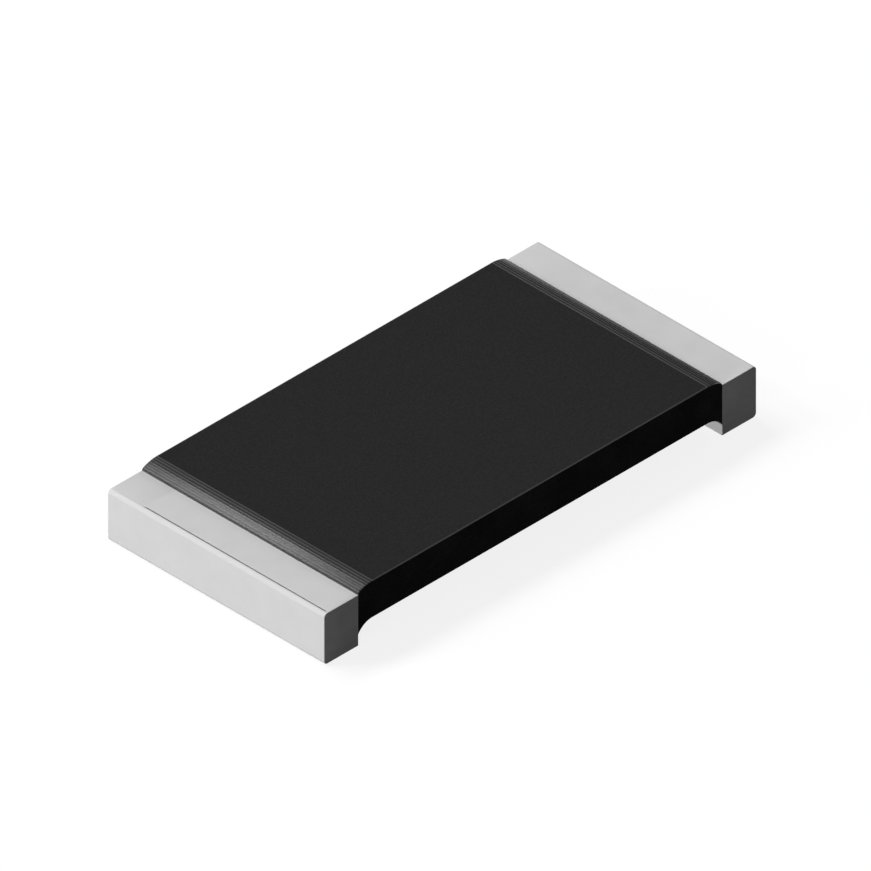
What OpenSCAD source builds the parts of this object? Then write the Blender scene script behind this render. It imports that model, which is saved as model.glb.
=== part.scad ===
// Metal strip chip resistor for surface mounting, size code 2512.
// A strip of resistance alloy is welded edge to edge between two tinned copper blocks, and a coat of
// black epoxy is moulded round it. Only the blocks touch the circuit board.
// Millimetres. +X runs along the chip, +Z is up, and the origin is on the board, under the middle.

/* [Chip] */
// Length over both terminals
chip_length = 6.35; // [5.5:0.05:7.5]
// Width, the same for the terminals and the coat
chip_width = 3.18; // [2.6:0.02:3.8]

/* [Terminals] */
// Length of each terminal along the chip
terminal_length = 0.5; // [0.3:0.02:0.9]
// Height of each terminal
terminal_height = 0.645; // [0.58:0.005:0.8]
// Radius of each terminal's outer edges, top and bottom
terminal_edge_radius = 0.05; // [0.02:0.005:0.12]

/* [Resistance strip] */
// Thickness of the strip
strip_thickness = 0.25; // [0.15:0.01:0.3]
// Step down from the top of a terminal to the top of the strip
strip_step = 0.03; // [0.02:0.005:0.06]
// Number of slots, cut in from alternate edges to lengthen the way for the current
slot_count = 5; // [1:2:7]
// Width of each slot
slot_width = 0.2; // [0.1:0.02:0.36]
// Depth of each slot from the edge of the strip
slot_depth = 1.7; // [0.8:0.05:2.1]

/* [Coat] */
// Gap between the board and the underside of the coat
standoff = 0.255; // [0.2:0.005:0.3]
// Height of the coat's top above the tops of the terminals
coat_rise = 0.08; // [0.065:0.005:0.14]
// Thickness of the coat over each long edge of the strip
coat_side = 0.1; // [0.05:0.01:0.25]
// Length along the chip of the round shoulder at each end of the coat's top
shoulder_length = 0.22; // [0.15:0.01:0.4]
// Radius of the shoulder's tight end, where it drops to the terminal's top edge
shoulder_end_radius = 0.04; // [0.01:0.005:0.06]
// Radius of the hollow fillet at each end of the coat's underside
fillet_radius = 0.25; // [0.16:0.01:0.4]
// How far down a terminal's inner wall the hollow fillet runs
fillet_drop = 0.12; // [0.06:0.01:0.15]

/* [Hidden] */
$fn = 96;

// How far a cutting shape runs past the face that it cuts through
cut_margin = 0.2;

// The plane where a terminal meets the strip and the coat
inner_wall = chip_length / 2 - terminal_length;

strip_width = chip_width - 2 * coat_side;
strip_top = terminal_height - strip_step;
slot_pitch = 2 * inner_wall / (slot_count + 1);

coat_top = terminal_height + coat_rise;

// The shoulder is a wide arc that leaves the top level, then a tight one that ends upright at the
// terminal's top edge. The wide radius is the one at which the two arcs run into each other smoothly.
shoulder_start = inner_wall - shoulder_length;
shoulder_radius = (shoulder_length ^ 2 + coat_rise ^ 2 - 2 * shoulder_length * shoulder_end_radius)
    / (2 * (coat_rise - shoulder_end_radius));
wide_centre = [shoulder_start, coat_top - shoulder_radius];
tight_centre = [inner_wall - shoulder_end_radius, terminal_height];
shoulder_knee = tight_centre[0]
    + (tight_centre[0] - wide_centre[0]) * shoulder_end_radius / (shoulder_radius - shoulder_end_radius);

// Where the hollow fillet leaves the level underside
fillet_start = inner_wall - sqrt(fillet_drop * (2 * fillet_radius - fillet_drop));

// A side view, x along the chip and y up, drawn out across the width
module across_width() {
    rotate([90, 0, 0])
        linear_extrude(height = chip_width, center = true)
            children();
}

// A rectangle in a side view, given by its lower left and upper right corners
module panel(low, high) {
    polygon([low, [high[0], low[1]], high, [low[0], high[1]]]);
}

// What a rounding takes off a square corner that points to +x and +y.
// The centre of the round is at the origin.
module corner_waste(radius) {
    difference() {
        square(radius + cut_margin);
        circle(r = radius);
    }
}

// Side view of the right terminal: a block whose two outer edges are rounded
module terminal_profile() {
    round_x = chip_length / 2 - terminal_edge_radius;
    difference() {
        panel([inner_wall, 0], [chip_length / 2, terminal_height]);
        translate([round_x, terminal_height - terminal_edge_radius])
            corner_waste(terminal_edge_radius);
        translate([round_x, terminal_edge_radius])
            mirror([0, 1])
                corner_waste(terminal_edge_radius);
    }
}

// A slot that opens at the strip's +Y edge and ends in a half round
module slot() {
    end_y = strip_width / 2 - slot_depth + slot_width / 2;
    translate([0, end_y])
        circle(d = slot_width);
    translate([-slot_width / 2, end_y])
        square([slot_width, strip_width / 2 - end_y + cut_margin]);
}

// The slotted strip, longer at each end by the overrun
module slotted_strip(overrun = 0) {
    translate([0, 0, strip_top - strip_thickness])
        linear_extrude(height = strip_thickness)
            difference() {
                square([2 * (inner_wall + overrun), strip_width], center = true);
                for (i = [0 : slot_count - 1])
                    translate([(i + 1) * slot_pitch - inner_wall, 0])
                        mirror([0, i % 2])
                            slot();
            }
}

// The part of a circle that stands above the terminals between two places along the chip
module arc_slice(centre, radius, from_x, to_x) {
    intersection() {
        translate(centre)
            circle(r = radius);
        panel([from_x, terminal_height], [to_x, coat_top + cut_margin]);
    }
}

// Side view of half of the coat, from the middle of the chip to the right terminal.
// The shoulder falls to the terminal's top edge, and the fillet runs down its inner wall.
module half_coat_profile() {
    panel([0, standoff], [inner_wall, terminal_height]);
    panel([0, terminal_height], [shoulder_start, coat_top]);
    arc_slice(wide_centre, shoulder_radius, shoulder_start, shoulder_knee);
    arc_slice(tight_centre, shoulder_end_radius, shoulder_knee, inner_wall);
    difference() {
        panel([fillet_start, standoff - fillet_drop], [inner_wall, standoff]);
        translate([fillet_start, standoff - fillet_radius])
            circle(r = fillet_radius);
    }
}

module right_terminal() {
    color("#c6c6c6")
        across_width()
            terminal_profile();
}

module left_terminal() {
    mirror([1, 0, 0])
        right_terminal();
}

module resistance_strip() {
    color("#a9876a")
        slotted_strip();
}

module epoxy_coat() {
    color("#292929")
        difference() {
            across_width()
                union() {
                    half_coat_profile();
                    mirror([1, 0])
                        half_coat_profile();
                }
            slotted_strip(cut_margin);
        }
}

left_terminal();
right_terminal();
resistance_strip();
epoxy_coat();
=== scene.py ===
# %% [markdown]
# # Dressing a metal strip chip resistor
#
# This part is a resistor that a machine solders flat to a circuit board. It is about as long as a grain
# of rice: a black coated body between two plain metal end blocks. The solids come packed with their
# real sizes, and this lesson gives them their looks. Everything stays in the model's own frame, in
# metres, so nothing has to be fitted: a piece is simply built where it belongs.
#
# The first step loads the imported model and notes its box.

# %% Load the frame
import math

import bmesh
import bpy
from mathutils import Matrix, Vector


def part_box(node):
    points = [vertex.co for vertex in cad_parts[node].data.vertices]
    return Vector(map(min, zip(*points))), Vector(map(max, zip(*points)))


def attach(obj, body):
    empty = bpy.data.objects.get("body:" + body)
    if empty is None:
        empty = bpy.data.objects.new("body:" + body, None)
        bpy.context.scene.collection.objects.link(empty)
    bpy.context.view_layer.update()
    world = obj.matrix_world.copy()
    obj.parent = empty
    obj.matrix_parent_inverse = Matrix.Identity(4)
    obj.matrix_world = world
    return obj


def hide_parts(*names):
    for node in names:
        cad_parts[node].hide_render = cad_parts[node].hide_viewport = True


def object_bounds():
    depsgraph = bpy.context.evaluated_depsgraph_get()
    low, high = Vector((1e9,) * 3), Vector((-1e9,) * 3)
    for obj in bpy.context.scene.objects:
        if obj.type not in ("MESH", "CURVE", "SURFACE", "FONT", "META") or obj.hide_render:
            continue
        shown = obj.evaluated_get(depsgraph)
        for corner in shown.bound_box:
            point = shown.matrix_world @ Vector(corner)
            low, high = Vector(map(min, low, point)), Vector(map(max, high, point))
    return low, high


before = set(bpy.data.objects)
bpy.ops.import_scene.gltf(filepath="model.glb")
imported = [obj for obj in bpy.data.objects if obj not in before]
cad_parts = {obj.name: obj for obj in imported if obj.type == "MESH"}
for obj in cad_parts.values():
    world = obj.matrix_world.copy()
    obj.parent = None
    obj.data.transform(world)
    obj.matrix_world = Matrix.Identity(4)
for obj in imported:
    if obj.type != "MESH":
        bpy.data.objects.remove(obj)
cad_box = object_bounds()

MM = 0.001  # one millimetre, in Blender's metres


def in_mm(point):
    return tuple(round(value / MM, 3) for value in point)


print("CAD box in mm:", in_mm(cad_box[0]), "to", in_mm(cad_box[1]))

# %% [markdown]
# ## Sizes
#
# The chip is so small that Blender's own tools would round its finest edges away if they worked in
# metres. So every outline below is drawn in millimetres and is scaled down only when it becomes a
# piece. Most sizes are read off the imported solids. The few that a box can't tell, such as the radius
# of a rounding, are named here.

# %% Read the sizes off the solids
coat_low, coat_high = (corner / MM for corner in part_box("epoxy_coat"))
block_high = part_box("right_terminal")[1] / MM

half_width = coat_high.y
inner_wall = coat_high.x
outer_wall = block_high.x
coat_top = coat_high.z
block_top = block_high.z
fillet_foot = coat_low.z

COAT_UNDERSIDE = 0.255
SHOULDER_LENGTH = 0.22
SHOULDER_END_RADIUS = 0.04
FILLET_RADIUS = 0.25
BLOCK_EDGE_RADIUS = 0.05

print(f"coat {2 * inner_wall:.3f} by {2 * half_width:.3f} mm, top at {coat_top:.3f} mm")
print(f"end blocks {outer_wall - inner_wall:.3f} mm long, top at {block_top:.3f} mm")

# %% [markdown]
# ## Camera
#
# The photograph is a true isometric view: the camera stands as far to the left as to the front, and
# all three axes are shortened alike. Such a view has no perspective, so the camera is orthographic,
# and its scale alone sets how large the chip appears. The chip's middle isn't quite in the middle of
# the picture. The camera is moved sideways by that much, which leaves the lens shift at zero.

# %% Place the isometric camera
PHOTO_SIDE = 871
PIXELS_PER_MM = 96.23
CHIP_MIDDLE_PX = Vector((432.05, 449.84))
CAMERA_DISTANCE = 30
CLIP_RANGE = (1, 300)

to_camera = Vector((-1, -1, 1)).normalized()
picture_right = Vector((1, -1, 0)).normalized()
picture_up = to_camera.cross(picture_right)

chip_middle = (cad_box[0] + cad_box[1]) / 2
offset_px = Vector((PHOTO_SIDE / 2, PHOTO_SIDE / 2)) - CHIP_MIDDLE_PX
aim = chip_middle + (picture_right * offset_px.x - picture_up * offset_px.y) / PIXELS_PER_MM * MM

camera_data = bpy.data.cameras.new("isometric_camera")
camera_data.type = "ORTHO"
camera_data.ortho_scale = PHOTO_SIDE / PIXELS_PER_MM * MM
camera_data.clip_start = CLIP_RANGE[0] * MM
camera_data.clip_end = CLIP_RANGE[1] * MM
camera = bpy.data.objects.new("isometric_camera", camera_data)
camera.location = aim + to_camera * CAMERA_DISTANCE * MM
camera.rotation_mode = "QUATERNION"
camera.rotation_quaternion = (-to_camera).to_track_quat("-Z", "Y")
bpy.context.scene.collection.objects.link(camera)
bpy.context.scene.camera = camera
print(f"camera shows {camera_data.ortho_scale / MM:.3f} mm across")

# %% [markdown]
# ## Outlines
#
# Both the coat and the end blocks keep one side view across their whole width, so each is an outline
# drawn out along Y. An outline is a list of (x, z) points, with the round stretches worked out as
# arcs. A large arc takes a few dozen steps to look round this close up, and a tiny one only a few.

# %% Draw arcs
ARC_STEPS = 24
EDGE_STEPS = 4


def arc(centre, radius, first_deg, last_deg, steps=ARC_STEPS):
    """Points on a circle, from the first angle to the last."""
    angles = [math.radians(first_deg + (last_deg - first_deg) * i / steps) for i in range(steps + 1)]
    return [Vector((centre[0] + radius * math.cos(a), centre[1] + radius * math.sin(a))) for a in angles]


def mirrored(points):
    """The same points for the other end of the chip, in the order that closes the outline."""
    return [Vector((-point.x, point.y)) for point in reversed(points)]


print("large arc:", len(arc((0, 0), 1, 0, 90)), "points")

# %% [markdown]
# ## From outline to mesh
#
# A drawn-out outline has knife-sharp edges at its two ends, and no real edge is that sharp: even a
# cut one catches the light in a thin line. A Bevel modifier could round them, but here the rounding
# is built in. Near each end the outline is repeated a few times, each copy a little further out and
# a little smaller, along a quarter circle. That gives clean strips of four-sided faces.
#
# A smaller copy isn't scaled, because that would also move its middle. It is shrunk: each free side
# moves inwards by the same distance. The sides where the coat and a block meet stay where they are, so
# the joint between them stays closed right up to the edge.

# %% Draw an outline out across the chip
def stations(rounding, inner_places=()):
    """Pairs of a place along Y and how far the outline is shrunk there."""
    end = []
    for i in range(EDGE_STEPS + 1):
        angle = math.radians(90 * i / EDGE_STEPS)
        end.append((half_width - rounding * (1 - math.sin(angle)), rounding * (1 - math.cos(angle))))
    near_end = [(-y, shrink) for y, shrink in reversed(end)]
    return near_end + [(y, 0) for y in inner_places] + end


def drawn_out(outline_at, places):
    """A closed body in millimetres, with the outline at each of the places across the chip."""
    body = bmesh.new()
    rings = []
    for y, shrink in places:
        rings.append([body.verts.new((point.x, y, point.y)) for point in outline_at(y, shrink)])
    count = len(rings[0])
    for near, far in zip(rings, rings[1:]):
        for i in range(count):
            j = (i + 1) % count
            body.faces.new((near[i], near[j], far[j], far[i]))
    body.faces.new(rings[0][::-1])
    body.faces.new(rings[-1])
    bmesh.ops.recalc_face_normals(body, faces=body.faces)
    return body


def new_object(name, body, scale=1.0):
    """An object from a body, which is used up."""
    bmesh.ops.scale(body, vec=(scale, scale, scale), verts=body.verts)
    mesh = bpy.data.meshes.new(name)
    body.to_mesh(mesh)
    body.free()
    obj = bpy.data.objects.new(name, mesh)
    bpy.context.scene.collection.objects.link(obj)
    return obj


print("outlines in each rounded end:", EDGE_STEPS + 1)

# %% [markdown]
# ## Smooth shading
#
# Smooth shading blends the light across neighbouring faces, which is right on a rounding and wrong
# at a true edge. The edges over an angle are marked sharp, and a Weighted Normal modifier then lets
# the large flat faces decide at their borders, so that they stay evenly lit right up to the rounding.

# %% Shade a piece
SHARP_ANGLE_DEG = 40


def shade(piece):
    for polygon in piece.data.polygons:
        polygon.use_smooth = True
    piece.data.set_sharp_from_angle(angle=math.radians(SHARP_ANGLE_DEG))
    weighted = piece.modifiers.new("flat_faces_decide", "WEIGHTED_NORMAL")
    weighted.mode = "FACE_AREA"
    weighted.weight = 100
    weighted.keep_sharp = True


print(f"edges over {SHARP_ANGLE_DEG} degrees stay sharp")

# %% [markdown]
# ## The coat
#
# The coat is black epoxy, moulded round the resistance strip. Its top stands a little higher than
# the end blocks and comes down to them in a shoulder: first a wide arc, then a tight one that ends
# upright at the block. Below, the coat clears the board, and at each end it creeps down the block's
# inner wall in a hollow fillet, as a liquid does against glass.

# %% Outline of the coat
def coat_outline(_y, shrink):
    """Side view of the coat, with its top lowered and its underside raised by the shrink."""
    rise = coat_top - block_top
    tight = SHOULDER_END_RADIUS
    wide = (SHOULDER_LENGTH**2 + rise**2 - 2 * SHOULDER_LENGTH * tight) / (2 * (rise - tight))
    knee = math.degrees(math.acos((SHOULDER_LENGTH - tight) / (wide - tight)))
    shoulder_end = arc((inner_wall - tight, block_top - shrink), tight, 0, knee)
    shoulder = arc((inner_wall - SHOULDER_LENGTH, coat_top - shrink - wide), wide, knee, 90)

    drop = COAT_UNDERSIDE - fillet_foot
    run = math.sqrt(drop * (2 * FILLET_RADIUS - drop))
    fillet_end = math.degrees(math.acos(run / FILLET_RADIUS))
    fillet_middle = (inner_wall - run, COAT_UNDERSIDE + shrink - FILLET_RADIUS)
    fillet = arc(fillet_middle, FILLET_RADIUS, 90, fillet_end)

    right_end = fillet + shoulder_end + shoulder[1:]
    return right_end + mirrored(right_end)


print("coat outline:", len(coat_outline(0, 0)), "points")

# %% [markdown]
# The strip inside is sealed in, and the coat has the same hollow as its solid: a Boolean modifier
# cuts the strip out of the coat. The cutter is a copy of the strip whose ends are pulled out past the
# coat, because a Boolean is only sure of itself where faces cross and not where they just touch.

# %% Build the coat round the strip
COAT_EDGE_ROUNDING = 0.012
CUTTER_OVERRUN = 0.1
END_TOLERANCE = 0.001
WELD_DISTANCE = 0.0001

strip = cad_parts["resistance_strip"]
cutter_body = bmesh.new()
cutter_body.from_mesh(strip.data)
bmesh.ops.scale(cutter_body, vec=(1 / MM, 1 / MM, 1 / MM), verts=cutter_body.verts)
bmesh.ops.remove_doubles(cutter_body, verts=cutter_body.verts, dist=WELD_DISTANCE)
for vert in cutter_body.verts:
    if abs(vert.co.x) > inner_wall - END_TOLERANCE:
        vert.co.x += math.copysign(CUTTER_OVERRUN, vert.co.x)

cutter = new_object("strip_cutter", cutter_body)
blank = new_object("coat_blank", drawn_out(coat_outline, stations(COAT_EDGE_ROUNDING)))
cut = blank.modifiers.new("cut_out_the_strip", "BOOLEAN")
cut.operation = "DIFFERENCE"
cut.solver = "EXACT"
cut.object = cutter
coat_body = bmesh.new()
coat_body.from_object(blank, bpy.context.evaluated_depsgraph_get())
coat = new_object("black_epoxy_coat", coat_body, MM)
for helper in (blank, cutter):
    bpy.data.meshes.remove(helper.data)

shade(coat)
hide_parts("epoxy_coat")
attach(coat, "root")
print("coat:", len(coat.data.polygons), "faces")

# %% [markdown]
# ## The end blocks
#
# Each end block is a slice of copper bar, plated with tin. Its two outer edges are rolled over. On
# the left block a hairline groove runs most of the way along the line where the flat top ends and
# the roll begins. It could be a dark line in the material, but then the mesh would lack it. So it is a
# real dip in the outline, a hundredth of a millimetre deep, which fades out at its two ends.

# %% Outline of an end block
BLOCK_INNER_RADIUS = 0.003
GROOVE_WIDTH = 0.02
GROOVE_DEPTH = 0.012
GROOVE_SHAPE = ((0.25, 0.8), (0.5, 1), (0.75, 0.8), (1, 0))  # shares of its width and depth


def block_outline(groove_depth, shrink):
    """Side view of the right end block, with a groove of this depth along the roll."""
    roll_x = outer_wall - BLOCK_EDGE_RADIUS
    roll = BLOCK_EDGE_RADIUS - shrink
    edge_x = inner_wall + BLOCK_INNER_RADIUS
    edge = BLOCK_INNER_RADIUS
    top = block_top - shrink
    groove = [
        Vector((roll_x - GROOVE_WIDTH * along, top - groove_depth * down)) for along, down in GROOVE_SHAPE
    ]
    return (
        arc((roll_x, BLOCK_EDGE_RADIUS), roll, 270, 360)
        + arc((roll_x, block_top - BLOCK_EDGE_RADIUS), roll, 0, 90)
        + groove
        + arc((edge_x, top - edge), edge, 90, 180, EDGE_STEPS)
        + arc((edge_x, shrink + edge), edge, 180, 270, EDGE_STEPS)
    )


print("block outline:", len(block_outline(0, 0)), "points")

# %% [markdown]
# Both blocks are drawn out from that one outline. The left one is its mirror image, and there the
# groove takes its depth from the place across the chip: full in between, and nothing at its two ends.

# %% Build the end blocks
BLOCK_EDGE_ROUNDING = 0.006
GROOVE_ENDS = (-1.575, 1.12)
GROOVE_FADE = 0.05


def right_block_outline(_y, shrink):
    return block_outline(0, shrink)


def left_block_outline(y, shrink):
    inside = min(y - GROOVE_ENDS[0], GROOVE_ENDS[1] - y)
    groove_depth = GROOVE_DEPTH * min(1, max(0, inside / GROOVE_FADE))
    return mirrored(block_outline(groove_depth, shrink))


groove_places = [
    GROOVE_ENDS[0],
    GROOVE_ENDS[0] + GROOVE_FADE,
    GROOVE_ENDS[1] - GROOVE_FADE,
    GROOVE_ENDS[1],
]
block_places = stations(BLOCK_EDGE_ROUNDING, groove_places)
blocks = {}
for side, outline_at in (("left", left_block_outline), ("right", right_block_outline)):
    block = new_object(f"{side}_tinned_block", drawn_out(outline_at, block_places), MM)
    shade(block)
    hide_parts(f"{side}_terminal")
    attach(block, "root")
    blocks[side] = block
    print(f"{side} block:", len(block.data.polygons), "faces")

# %% [markdown]
# ## Working with nodes
#
# The finishes are made of shader nodes, with no images: a pattern that is worked out from the place on
# the piece stays sharp at any distance. An effect that several finishes share is a node group. It has
# named inputs and outputs, like a small machine, and each material places it with its own values.

# %% Helpers for node groups
FLOAT = "NodeSocketFloat"
VECTOR = "NodeSocketVector"


def new_group(name, inputs, outputs):
    """An empty shader node group with named sockets, and its input and output nodes."""
    group = bpy.data.node_groups.new(name, "ShaderNodeTree")
    for socket, kind in inputs:
        group.interface.new_socket(socket, in_out="INPUT", socket_type=kind)
    for socket, kind in outputs:
        group.interface.new_socket(socket, in_out="OUTPUT", socket_type=kind)
    return group, group.nodes.new("NodeGroupInput"), group.nodes.new("NodeGroupOutput")


def feed(tree, socket, value):
    """Gives a socket a link from another socket, or a plain value."""
    if isinstance(value, bpy.types.NodeSocket):
        tree.links.new(value, socket)
    elif value is not None:
        socket.default_value = value


print("kinds of sockets:", FLOAT, VECTOR)

# %% [markdown]
# Most nodes of a pattern only do sums. The helpers here add one such node each and hand back its
# output, so that a chain of nodes can be written like a chain of sums.

# %% Helpers for sums
def math_node(tree, operation, first, second=None):
    """A Math node. Returns its output."""
    node = tree.nodes.new("ShaderNodeMath")
    node.operation = operation
    feed(tree, node.inputs[0], first)
    feed(tree, node.inputs[1], second)
    return node.outputs[0]


def vector_node(tree, operation, first, second=None):
    """A Vector Math node. Returns its vector output."""
    node = tree.nodes.new("ShaderNodeVectorMath")
    node.operation = operation
    feed(tree, node.inputs[0], first)
    feed(tree, node.inputs[1], second)
    return node.outputs["Vector"]


def parted(tree, vector):
    """A Separate XYZ node. Returns its three outputs."""
    node = tree.nodes.new("ShaderNodeSeparateXYZ")
    tree.links.new(vector, node.inputs[0])
    return node.outputs


def ranged(tree, value, low, high, from_low=0.0, from_high=1.0):
    """A Map Range node that takes a value from one range to another. Returns its output."""
    node = tree.nodes.new("ShaderNodeMapRange")
    feed(tree, node.inputs["Value"], value)
    node.inputs["From Min"].default_value = from_low
    node.inputs["From Max"].default_value = from_high
    node.inputs["To Min"].default_value = low
    node.inputs["To Max"].default_value = high
    return node.outputs["Result"]


print("helpers:", [helper.__name__ for helper in (math_node, vector_node, parted, ranged)])

# %% [markdown]
# ## Grain
#
# No surface of the chip is quite even. The resin is full of glass powder, and the plating is a crust
# of tiny crystals, so both are slightly speckled, and both are a little lighter or duller from place
# to place. Noise textures at two sizes give the specks and the patches. Nearly all values of a Noise
# texture lie in its middle range, so that range is stretched to run from 0 to 1.

# %% Fine grain, for every material
NOISE_RANGE = (0.3, 0.7)
GRAIN_DETAIL = 2  # how many finer layers the noise has
PATCH_DETAIL = 4


def noise_value(tree, position, size, detail):
    """A Noise texture with features of about this size, from 0 to 1."""
    noise = tree.nodes.new("ShaderNodeTexNoise")
    noise.inputs["Detail"].default_value = detail
    tree.links.new(position, noise.inputs["Vector"])
    tree.links.new(math_node(tree, "DIVIDE", 1.0, size), noise.inputs["Scale"])
    return ranged(tree, noise.outputs["Fac"], 0.0, 1.0, *NOISE_RANGE)


grain_group, grain_in, grain_out = new_group(
    "fine_grain",
    [("Position", VECTOR), ("Grain Size", FLOAT), ("Patch Size", FLOAT)],
    [("Grain", FLOAT), ("Patches", FLOAT)],
)
for size_name, result, detail in (
    ("Grain Size", "Grain", GRAIN_DETAIL),
    ("Patch Size", "Patches", PATCH_DETAIL),
):
    size = grain_in.outputs[size_name]
    speckle = noise_value(grain_group, grain_in.outputs["Position"], size, detail)
    grain_group.links.new(speckle, grain_out.inputs[result])
print("node group:", grain_group.name)

# %% [markdown]
# ## Drawn lines
#
# Rolling, moulding and sawing all leave fine lines in one direction. They are the same noise, but
# looked up in a squeezed space: where the place is divided by 60 along one axis, each speck becomes
# a line that is 60 times as long as it is wide.

# %% Drawn lines, along X or along Y
LINE_STRETCH = 60
LINE_DETAIL = 1
ALONG_X = (1 / LINE_STRETCH, 1, 1)
ALONG_Y = (1, 1 / LINE_STRETCH, 1)

lines_group, lines_in, lines_out = new_group(
    "drawn_lines",
    [("Position", VECTOR), ("Squeeze", VECTOR), ("Line Width", FLOAT)],
    [("Lines", FLOAT)],
)
squeezed = vector_node(lines_group, "MULTIPLY", lines_in.outputs["Position"], lines_in.outputs["Squeeze"])
line_value = noise_value(lines_group, squeezed, lines_in.outputs["Line Width"], LINE_DETAIL)
lines_group.links.new(line_value, lines_out.inputs["Lines"])
print("node group:", lines_group.name)

# %% [markdown]
# ## Edges
#
# Edges are handled most, so they wear first, and the finishes here also paint light and shade along
# them: a painted highlight on the coat's long edges and painted shade on the blocks' rolled edges.
# Blender can find them by how a mesh bends, but that depends on how finely it is built. Each piece here
# is nearly a box, so the group measures instead: a place is near an edge where it is close to two of
# the box's sides at once, which is where the second smallest of its three depths is small.

# %% Nearness to the edges of a box
edge_group, edge_in, edge_out = new_group(
    "box_edges",
    [("Position", VECTOR), ("Middle", VECTOR), ("Half Size", VECTOR), ("Width", FLOAT)],
    [("Edges", FLOAT)],
)
from_middle = vector_node(edge_group, "SUBTRACT", edge_in.outputs["Position"], edge_in.outputs["Middle"])
reach = vector_node(edge_group, "ABSOLUTE", from_middle)
depth = vector_node(edge_group, "SUBTRACT", edge_in.outputs["Half Size"], reach)
deep_x, deep_y, deep_z = parted(edge_group, depth)
lesser = math_node(edge_group, "MINIMUM", deep_x, deep_y)
greater = math_node(edge_group, "MAXIMUM", deep_x, deep_y)
middle = math_node(edge_group, "MINIMUM", greater, deep_z)
second_least = math_node(edge_group, "MAXIMUM", lesser, middle)
share = math_node(edge_group, "DIVIDE", second_least, edge_in.outputs["Width"])
edge_group.links.new(ranged(edge_group, share, 1.0, 0.0), edge_out.inputs["Edges"])
print("node group:", edge_group.name)

# %% [markdown]
# ## Starting a material
#
# Every material begins the same way: a Principled BSDF, and the place on the piece, turned from
# metres into millimetres by a Mapping node so that the numbers below are easy to read. Colours here
# are greys, mixed by a mask, and fine relief comes from Bump nodes, whose depth is in millimetres too.

# %% Helpers for materials
def new_material(name):
    """A material with a Principled BSDF, and the place on the piece in millimetres."""
    material = bpy.data.materials.new(name)
    material.use_nodes = True
    tree = material.node_tree
    shader = next(node for node in tree.nodes if node.type == "BSDF_PRINCIPLED")
    place = tree.nodes.new("ShaderNodeTexCoord")
    to_mm = tree.nodes.new("ShaderNodeMapping")
    to_mm.inputs["Scale"].default_value = (1 / MM, 1 / MM, 1 / MM)
    tree.links.new(place.outputs["Object"], to_mm.inputs["Vector"])
    return material, tree, shader, to_mm.outputs["Vector"]


def place_group(tree, group, position, **values):
    """A node group in a material, with its own values. Underscores stand for spaces."""
    node = tree.nodes.new("ShaderNodeGroup")
    node.node_tree = group
    tree.links.new(position, node.inputs["Position"])
    for name, value in values.items():
        node.inputs[name.replace("_", " ")].default_value = value
    return node.outputs


def grey(level):
    return (level, level, level, 1)


def mixed_colour(tree, factor, first, second):
    """A Mix node between two colours. Returns its output."""
    node = tree.nodes.new("ShaderNodeMix")
    node.data_type = "RGBA"
    # The node has sockets for each kind of value: 6, 7 and output 2 are those for colours.
    factor_socket, first_socket, second_socket = node.inputs[0], node.inputs[6], node.inputs[7]
    feed(tree, factor_socket, factor)
    feed(tree, first_socket, first)
    feed(tree, second_socket, second)
    return node.outputs[2]


def bumped(tree, height, depth_mm, normal=None):
    """A Bump node. The height runs from 0 to 1 over the depth. Returns its normal."""
    node = tree.nodes.new("ShaderNodeBump")
    node.inputs["Distance"].default_value = depth_mm * MM
    tree.links.new(height, node.inputs["Height"])
    feed(tree, node.inputs["Normal"], normal)
    return node.outputs["Normal"]


print("a middle grey, with its alpha:", grey(0.5))

# %% [markdown]
# ## Pressed epoxy
#
# The flat top was pressed by the mould and is a dull black. A low specular level keeps it black,
# because at a slant even a dull plastic mirrors its surroundings. Fine specks of glass powder show in
# it, and its long edges are a dark grey: partly wear, partly a painted highlight along them.

# %% Pressed epoxy
RESIN_DARK = 0.015
RESIN_LIGHT = 0.024
RESIN_GRAIN = 0.02
RESIN_PATCH = 0.5
PRESSED_ROUGHNESS = (0.7, 0.8)
SKIN_DEPTH = 0.00025
WEAR_AND_SHEEN_GREY = 0.12
WEAR_AND_SHEEN_WIDTH = 0.02
WEAR_AND_SHEEN_SHARE = 0.8

pressed, tree, shader, position = new_material("pressed_epoxy")
grain = place_group(tree, grain_group, position, Grain_Size=RESIN_GRAIN, Patch_Size=RESIN_PATCH)
coat_edges = place_group(
    tree,
    edge_group,
    position,
    Middle=(0, 0, (coat_top + COAT_UNDERSIDE) / 2),
    Half_Size=(inner_wall, half_width, (coat_top - COAT_UNDERSIDE) / 2),
    Width=WEAR_AND_SHEEN_WIDTH,
)
resin = mixed_colour(tree, grain["Grain"], grey(RESIN_DARK), grey(RESIN_LIGHT))
# Wear and painted highlight: the long edges are mixed towards a lighter grey.
wear_and_sheen = math_node(tree, "MULTIPLY", coat_edges["Edges"], WEAR_AND_SHEEN_SHARE)
tree.links.new(mixed_colour(tree, wear_and_sheen, resin, grey(WEAR_AND_SHEEN_GREY)), shader.inputs["Base Color"])
tree.links.new(ranged(tree, grain["Patches"], *PRESSED_ROUGHNESS), shader.inputs["Roughness"])
shader.inputs["Specular IOR Level"].default_value = 0.05
tree.links.new(bumped(tree, grain["Grain"], SKIN_DEPTH), shader.inputs["Normal"])
coat.data.materials.append(pressed)
print("material:", pressed.name)
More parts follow.
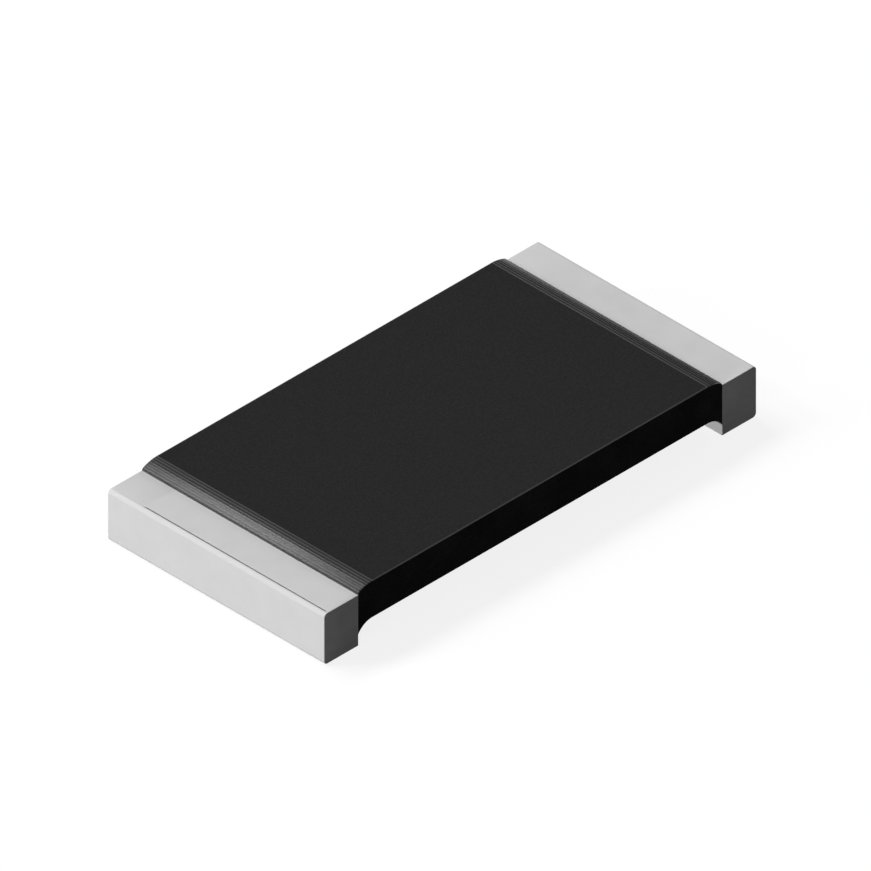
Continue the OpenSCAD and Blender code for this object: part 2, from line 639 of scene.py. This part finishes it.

# %% [markdown]
# ## Flowed epoxy
#
# The shoulders and the fillets below weren't pressed: there the resin flowed against the end block and
# set as it stood. Fine ridges run all along the joint, a few hundredths of a millimetre apart, as if
# the resin had drawn back step by step. They are worked out from the distance from the flat top,
# counted outwards and downwards, so that they keep apart where the shoulder turns steep. A Ping-Pong
# node swings between 0 and a half as that distance grows, and a ridge stands wherever it is near 0.
# The crests are painted a lighter grey, as a painted highlight along each ridge.

# %% Flowed epoxy: ridges
RIDGE_START = 0.009  # the first crest, from the end of the flat top
RIDGE_PITCH = 0.0405
RIDGE_SHARE = 0.5  # how much of the pitch a crest takes up
RIDGE_DEPTH = 0.0006
CREST_HIGHLIGHT_GREY = 0.1
CREST_STRENGTH = (0.7, 1.0)  # how much of that grey shows, from patch to patch
HALF_SWING = 0.5  # from one crest to the middle between two

flowed, tree, shader, position = new_material("flowed_epoxy")
grain = place_group(tree, grain_group, position, Grain_Size=RESIN_GRAIN, Patch_Size=RESIN_PATCH)
from_centre = math_node(tree, "ABSOLUTE", parted(tree, position)["X"])
outwards = math_node(tree, "SUBTRACT", from_centre, inner_wall - SHOULDER_LENGTH)
downwards = math_node(tree, "SUBTRACT", coat_top, parted(tree, position)["Z"])
from_flat = math_node(tree, "ADD", outwards, downwards)
from_first = math_node(tree, "SUBTRACT", from_flat, RIDGE_START)
swing = math_node(tree, "PINGPONG", math_node(tree, "DIVIDE", from_first, RIDGE_PITCH), HALF_SWING)
crest = ranged(tree, swing, 1.0, 0.0, 0.0, RIDGE_SHARE * HALF_SWING)
crests = math_node(tree, "MULTIPLY", crest, ranged(tree, grain["Patches"], *CREST_STRENGTH))
resin = mixed_colour(tree, grain["Grain"], grey(RESIN_DARK), grey(RESIN_LIGHT))
# Painted highlight: the crests are mixed towards a lighter grey.
tree.links.new(mixed_colour(tree, crests, resin, grey(CREST_HIGHLIGHT_GREY)), shader.inputs["Base Color"])
coat.data.materials.append(flowed)
print("material:", flowed.name)

# %% [markdown]
# The flat top and the shoulder meet without a step, so their shine has to meet as well. The roughness
# starts at that of the top and falls as the shoulder bends down. Faint lines, stretched until they run
# the whole width of the chip, make the ridges a little uneven.

# %% Flowed epoxy: shine
FLOW_FADE = 0.08  # how far from the flat top the shoulder is at its smoothest
FLOW_START_ROUGHNESS = (0.74, 0.76)
FLOW_POLISH = 0.48  # how much smoother it is there
FLOW_STRETCH = 1000
FLOW_LINE_WIDTH = 0.02
FLOW_LINE_DEPTH = 0.0006

smoothness = ranged(tree, from_flat, 0.0, 1.0, 0.0, FLOW_FADE)
polish = math_node(tree, "MULTIPLY", smoothness, FLOW_POLISH)
dull = ranged(tree, grain["Patches"], *FLOW_START_ROUGHNESS)
tree.links.new(math_node(tree, "SUBTRACT", dull, polish), shader.inputs["Roughness"])
shader.inputs["Specular IOR Level"].default_value = 0.2

along_joint = (1, 1 / FLOW_STRETCH, 1)
lines = place_group(tree, lines_group, position, Squeeze=along_joint, Line_Width=FLOW_LINE_WIDTH)
flow_lines = math_node(tree, "MULTIPLY", lines["Lines"], smoothness)
skin = bumped(tree, grain["Grain"], SKIN_DEPTH)
ridged = bumped(tree, crests, RIDGE_DEPTH, skin)
tree.links.new(bumped(tree, flow_lines, FLOW_LINE_DEPTH, ridged), shader.inputs["Normal"])
print("nodes in it:", len(tree.nodes))

# %% [markdown]
# ## Sawn sides
#
# Chips like this are made side by side on one long strip and are sawn apart, which is why the coat
# and the blocks end flush on the long sides. A sawn face is duller than a moulded or a plated one and
# has lines along the cut. So each piece gets one more material, for its cut faces only. The sawn
# epoxy comes first: it is deep black, with hardly any shine, and darker than the moulded resin as
# painted shade on the long sides.

# %% Sawn epoxy
SHADED_SAWN_RESIN_DARK = 0.002
SHADED_SAWN_RESIN_LIGHT = 0.007
SAWN_RESIN_ROUGHNESS = (0.7, 0.85)
SAW_LINE_WIDTH = 0.018
SAW_LINE_DEPTH = 0.0006

shade_painted_sawn_epoxy, tree, shader, position = new_material("shade_painted_sawn_epoxy")
grain = place_group(tree, grain_group, position, Grain_Size=0.025, Patch_Size=0.3)
lines = place_group(tree, lines_group, position, Squeeze=ALONG_X, Line_Width=SAW_LINE_WIDTH)
# Painted shade: the long sides get a darker black than the moulded resin.
resin = mixed_colour(tree, grain["Grain"], grey(SHADED_SAWN_RESIN_DARK), grey(SHADED_SAWN_RESIN_LIGHT))
tree.links.new(resin, shader.inputs["Base Color"])
tree.links.new(ranged(tree, grain["Patches"], *SAWN_RESIN_ROUGHNESS), shader.inputs["Roughness"])
shader.inputs["Specular IOR Level"].default_value = 0.02
tree.links.new(bumped(tree, lines["Lines"], SAW_LINE_DEPTH), shader.inputs["Normal"])
coat.data.materials.append(shade_painted_sawn_epoxy)
print("material:", shade_painted_sawn_epoxy.name)

# %% [markdown]
# ## Matte tin
#
# The plating on the end blocks is matte tin: pale, even and soft in its shine, more like eggshell
# than like a mirror. A full metal shader only shows what is mirrored in it, so it would turn white or
# black with the view. This one is mostly diffuse, with a share of metal that lifts the rolled edges.
# They are painted a little darker, as painted shade that tones down the light the lamps put on them.

# %% Matte tin: plating
CRYSTALS_DARK = 0.59
CRYSTALS_LIGHT = 0.62
PATCH_GREY = 0.63
ROLL_SHADE_GREY = 0.47
TIN_ROUGHNESS = (0.64, 0.7)
TIN_GRAIN_DEPTH = 0.00025
TIN_LINE_WIDTH = 0.02
TIN_LINE_DEPTH = 0.00012

tin, tree, shader, position = new_material("matte_tin")
grain = place_group(tree, grain_group, position, Grain_Size=0.016, Patch_Size=0.25)
lines = place_group(tree, lines_group, position, Squeeze=ALONG_Y, Line_Width=TIN_LINE_WIDTH)
either_end = vector_node(tree, "ABSOLUTE", position)
# This box is wider than the block, so that only the edges along Y count
rolled = place_group(
    tree,
    edge_group,
    either_end,
    Middle=(outer_wall / 2, 0, block_top / 2),
    Half_Size=(outer_wall / 2, 2 * half_width, block_top / 2),
    Width=BLOCK_EDGE_RADIUS,
)
crystals = mixed_colour(tree, grain["Grain"], grey(CRYSTALS_DARK), grey(CRYSTALS_LIGHT))
plating = mixed_colour(tree, grain["Patches"], crystals, grey(PATCH_GREY))
# Painted shade: the rolled edges are mixed towards a darker grey.
roll_shaded = mixed_colour(tree, rolled["Edges"], plating, grey(ROLL_SHADE_GREY))

shader.inputs["Metallic"].default_value = 0.22
shader.inputs["Specular IOR Level"].default_value = 0.25
tree.links.new(ranged(tree, grain["Patches"], *TIN_ROUGHNESS), shader.inputs["Roughness"])
plated_skin = bumped(tree, grain["Grain"], TIN_GRAIN_DEPTH)
tree.links.new(bumped(tree, lines["Lines"], TIN_LINE_DEPTH, plated_skin), shader.inputs["Normal"])
for block in blocks.values():
    block.data.materials.append(tin)
print("material:", tin.name)

# %% [markdown]
# The hairline groove is painted darker, as painted shade in the recess. Both blocks share this material,
# and only one of them has the groove, so its place along the chip isn't enough to tell. The mask also
# asks how deep a place is: it is 1 close to the groove's floor, and 0 on the flat top.

# %% Matte tin: painted shade in the groove
GROOVE_SHADE_GREY = 0.12

groove_x = outer_wall - BLOCK_EDGE_RADIUS - GROOVE_WIDTH / 2
groove_z = block_top - GROOVE_DEPTH
off_middle = math_node(tree, "SUBTRACT", parted(tree, either_end)["X"], groove_x)
off_floor = math_node(tree, "SUBTRACT", parted(tree, either_end)["Z"], groove_z)
within = ranged(tree, math_node(tree, "ABSOLUTE", off_middle), 1.0, 0.0, GROOVE_WIDTH / 2, GROOVE_WIDTH)
deep = ranged(tree, math_node(tree, "ABSOLUTE", off_floor), 1.0, 0.0, GROOVE_DEPTH / 2, GROOVE_DEPTH)
groove_shade = math_node(tree, "MULTIPLY", within, deep)
# Painted shade: the groove is mixed towards a dark grey.
tree.links.new(mixed_colour(tree, groove_shade, roll_shaded, grey(GROOVE_SHADE_GREY)), shader.inputs["Base Color"])
print(f"groove floor at {groove_z:.3f} mm")

# %% [markdown]
# The sawn ends of the blocks are painted a darker grey than the plating, as painted shade, and the
# saw's lines run across them in the same direction as on the coat, because both were cut in one pass.

# %% Sawn metal
SHADED_CUT_DARK = 0.19
SHADED_CUT_LIGHT = 0.22
CUT_ROUGHNESS = (0.6, 0.75)

shade_painted_sawn_metal, tree, shader, position = new_material("shade_painted_sawn_metal")
grain = place_group(tree, grain_group, position, Grain_Size=0.02, Patch_Size=0.25)
lines = place_group(tree, lines_group, position, Squeeze=ALONG_X, Line_Width=SAW_LINE_WIDTH)
# Painted shade: the long sides of the blocks get a darker grey than the plating.
shaded_cut_grey = mixed_colour(tree, grain["Patches"], grey(SHADED_CUT_DARK), grey(SHADED_CUT_LIGHT))
tree.links.new(shaded_cut_grey, shader.inputs["Base Color"])
shader.inputs["Metallic"].default_value = 0.05
shader.inputs["Specular IOR Level"].default_value = 0.1
tree.links.new(ranged(tree, lines["Lines"], *CUT_ROUGHNESS), shader.inputs["Roughness"])
tree.links.new(bumped(tree, lines["Lines"], SAW_LINE_DEPTH), shader.inputs["Normal"])
for block in blocks.values():
    block.data.materials.append(shade_painted_sawn_metal)
print("material:", shade_painted_sawn_metal.name)

# %% [markdown]
# ## Which face has which finish
#
# A mesh has a list of materials, and each face holds the number of its own. The faces are sorted by
# where their middles lie, which is safer than by number: cutting out the strip has numbered them anew.

# %% Hand out the finishes
FACE_TOLERANCE = 0.0005


def finish_name(piece, face):
    """The material for a face of the coat or of an end block."""
    x, y, z = (abs(value) / MM for value in face.center)
    # The long sides get the sawn finishes, whose darker colour is painted shade.
    if y > half_width - FACE_TOLERANCE:
        return shade_painted_sawn_epoxy.name if piece is coat else shade_painted_sawn_metal.name
    if piece is not coat:
        return tin.name
    on_shoulder = x > inner_wall - SHOULDER_LENGTH and z > block_top
    on_fillet = z < COAT_UNDERSIDE - FACE_TOLERANCE
    return flowed.name if on_shoulder or on_fillet else pressed.name


for piece in (coat, *blocks.values()):
    counts = dict.fromkeys(piece.data.materials.keys(), 0)
    for face in piece.data.polygons:
        name = finish_name(piece, face)
        face.material_index = piece.data.materials.find(name)
        counts[name] += 1
    print(piece.name, counts)

# %% [markdown]
# ## Resistance alloy
#
# The strip is sealed in the coat and never shows, but a cut model or another scene may open it up. It
# is rolled copper alloy with a brownish tone, bare and shiny, and here a full metal shader is right.
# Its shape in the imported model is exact, so it only gets a better material.

# %% Resistance alloy
ALLOY_DARK = (0.36, 0.22, 0.14, 1)
ALLOY_LIGHT = (0.46, 0.3, 0.2, 1)
ALLOY_ROUGHNESS = (0.3, 0.45)
ROLL_LINE_WIDTH = 0.04
ROLL_LINE_DEPTH = 0.0004

alloy, tree, shader, position = new_material("rolled_alloy")
grain = place_group(tree, grain_group, position, Grain_Size=0.03, Patch_Size=0.8)
lines = place_group(tree, lines_group, position, Squeeze=ALONG_Y, Line_Width=ROLL_LINE_WIDTH)
brown = mixed_colour(tree, grain["Patches"], ALLOY_DARK, ALLOY_LIGHT)
tree.links.new(brown, shader.inputs["Base Color"])
shader.inputs["Metallic"].default_value = 1.0
tree.links.new(ranged(tree, lines["Lines"], *ALLOY_ROUGHNESS), shader.inputs["Roughness"])
tree.links.new(bumped(tree, lines["Lines"], ROLL_LINE_DEPTH), shader.inputs["Normal"])
strip.data.materials.clear()
strip.data.materials.append(alloy)
print("material:", alloy.name)

# %% [markdown]
# ## Floor
#
# The chip stands on a plain floor, a single square face that is large enough to fill the picture. It
# isn't part of the object.

# %% Floor
FLOOR_HALF = 150

half = FLOOR_HALF * MM
corners = [(-half, -half, 0), (half, -half, 0), (half, half, 0), (-half, half, 0)]
floor_mesh = bpy.data.meshes.new("studio_floor")
floor_mesh.from_pydata(corners, [], [(0, 1, 2, 3)])
floor = bpy.data.objects.new("studio_floor", floor_mesh)
bpy.context.scene.collection.objects.link(floor)
print(f"floor: {2 * FLOOR_HALF} mm square")

# %% [markdown]
# The picture is white all round the chip. Lighting a floor until it is white would also flood the
# chip with light from below. So the floor is in truth a grey one, which throws little light back, and
# it glows only for the rays by which it is seen, straight or in a reflection. What the lamps add on
# top of the glow makes it white, and where the chip stands in the way, its soft shadow stays.

# %% White paper on the floor
FLOOR_TONE = 0.17
FLOOR_GLOW = 0.85


def seen_ray(tree):
    """1 for a ray by which the camera sees the studio, straight or in a reflection, and else 0."""
    path = tree.nodes.new("ShaderNodeLightPath")
    seen = math_node(tree, "MAXIMUM", path.outputs["Is Camera Ray"], path.outputs["Is Glossy Ray"])
    return math_node(tree, "MAXIMUM", seen, path.outputs["Is Transmission Ray"])


paper = bpy.data.materials.new("white_paper")
paper.use_nodes = True
tree = paper.node_tree
tree.nodes.clear()
matte = tree.nodes.new("ShaderNodeBsdfDiffuse")
matte.inputs["Color"].default_value = grey(FLOOR_TONE)
glow = tree.nodes.new("ShaderNodeEmission")
tree.links.new(math_node(tree, "MULTIPLY", seen_ray(tree), FLOOR_GLOW), glow.inputs["Strength"])
both = tree.nodes.new("ShaderNodeAddShader")
tree.links.new(matte.outputs[0], both.inputs[0])
tree.links.new(glow.outputs[0], both.inputs[1])
surface = tree.nodes.new("ShaderNodeOutputMaterial")
tree.links.new(both.outputs[0], surface.inputs["Surface"])
floor.data.materials.append(paper)
print("material:", paper.name)

# %% [markdown]
# ## Lamps
#
# The left shoulder of the coat shines all the way round its bend. A bend mirrors a whole arc of the
# room, so a single lamp would give it one narrow stripe. Four softboxes stand in a row along just
# that arc: for some tilts of the shoulder, the line of sight is mirrored off it, and a lamp is hung
# where it points. Behind the chip and high up, they also light the tops, and leave the near side dark.
#
# A low lamp on the left, a little to the front, lights the left faces and looks in under the coat at
# the far block's inner wall. One on the right is for the views from that side. A lamp's power grows
# with the square of its distance, so that level 1 always shows a colour as it is written on a face
# that looks at the lamp.

# %% Lamps
LAMP_DISTANCE = 400
ROW_TILTS_DEG = (19, 30, 42, 54)
TO_LEFT_LAMP = (-0.96, -0.26, 0.06)
TO_RIGHT_LAMP = (0.97, 0.05, 0.3)


def softbox(name, towards, side, level):
    """A square lamp that lights a face turned to it to this level."""
    data = bpy.data.lights.new(name, "AREA")
    data.shape = "SQUARE"
    data.size = side * MM
    data.energy = level * (math.pi * LAMP_DISTANCE * MM) ** 2
    lamp = bpy.data.objects.new(name, data)
    direction = Vector(towards).normalized()
    lamp.location = direction * LAMP_DISTANCE * MM
    lamp.rotation_mode = "QUATERNION"
    lamp.rotation_quaternion = direction.to_track_quat("Z", "Y")
    bpy.context.scene.collection.objects.link(lamp)
    print(f"{name}: {data.energy:.4f} W")


def mirrored_sight(tilt_deg):
    """Where a line of sight goes off a face that is tilted to the left."""
    tilt = math.radians(tilt_deg)
    normal = Vector((-math.sin(tilt), 0, math.cos(tilt)))
    return 2 * normal.dot(to_camera) * normal - to_camera


for number, tilt_deg in enumerate(ROW_TILTS_DEG, 1):
    softbox(f"row_softbox_{number}", mirrored_sight(tilt_deg), side=100, level=0.31)
softbox("left_softbox", TO_LEFT_LAMP, side=90, level=0.67)
softbox("right_softbox", TO_RIGHT_LAMP, side=160, level=0.3)

# %% [markdown]
# ## The air
#
# A faint light from all round keeps the darkest corners readable. Near the horizon and below it the air
# is white for the rays that see it, so that the floor has no visible end when the camera looks from
# lower down.

# %% World
FILL_LEVEL = 0.04
HORIZON_BAND = (0.02, 0.08)

world = bpy.data.worlds.new("studio_air")
world.use_nodes = True
bpy.context.scene.world = world
tree = world.node_tree
place = tree.nodes.new("ShaderNodeTexCoord")
height = parted(tree, place.outputs["Generated"])["Z"]
band = ranged(tree, height, 1.0 - FILL_LEVEL, 0.0, *HORIZON_BAND)
backdrop = math_node(tree, "MULTIPLY", band, seen_ray(tree))
air = tree.nodes["Background"]
air.inputs["Color"].default_value = grey(1)
tree.links.new(math_node(tree, "ADD", backdrop, FILL_LEVEL), air.inputs["Strength"])
print("world:", world.name)

# %% [markdown]
# ## Finish
#
# The Standard view shows each colour as it is, with no film look.

# %% Standard view
bpy.context.scene.view_settings.view_transform = "Standard"
